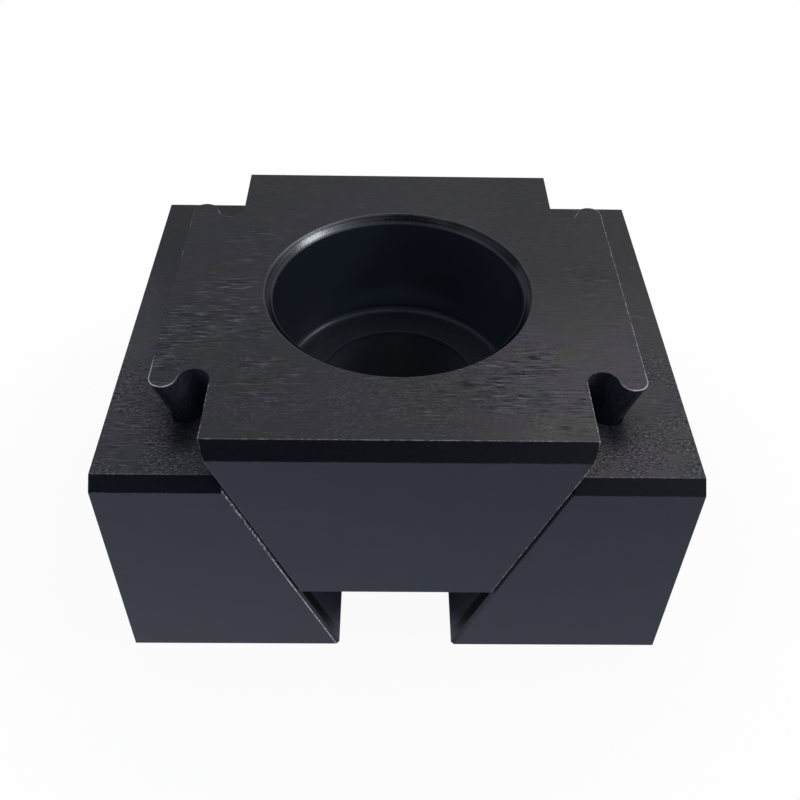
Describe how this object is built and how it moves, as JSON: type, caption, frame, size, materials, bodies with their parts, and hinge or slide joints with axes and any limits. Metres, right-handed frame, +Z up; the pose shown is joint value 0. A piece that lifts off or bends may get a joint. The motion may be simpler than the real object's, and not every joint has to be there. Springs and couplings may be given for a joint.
{
  "type": "side vise",
  "caption": "Double-wedge side vise: a keyed wedge block with a counterbored screw hole, sliding between two inclined steel jaws that it spreads apart.",
  "frame": {"origin": "centre of the base that the two jaws stand on", "axes": "+X along the clamping direction, towards the right jaw; +Z up, along the screw hole; +Y towards the back"},
  "size_m": [0.054, 0.0454, 0.0293],
  "materials": {
    "black_oxide_steel": "hardened steel, ground along X and blackened, satin, with thin bright worn edges"
  },
  "bodies": {
    "wedge": {"wedge_block": "black_oxide_steel"},
    "left_jaw": {"left_jaw": "black_oxide_steel"},
    "right_jaw": {"right_jaw": "black_oxide_steel"}
  },
  "joints": [
    {"name": "right_jaw_slide", "type": "slide", "parent": "wedge", "child": "right_jaw", "axis": [0.3616, 0, 0.9323], "range_m": [0, 0.0069]},
    {"name": "left_jaw_slide", "type": "slide", "parent": "wedge", "child": "left_jaw", "axis": [-0.3616, 0, 0.9323], "range_m": [0, 0.0069]}
  ],
  "couplings": [
    {"joint": "left_jaw_slide", "follows": "right_jaw_slide", "ratio": 1}
  ]
}
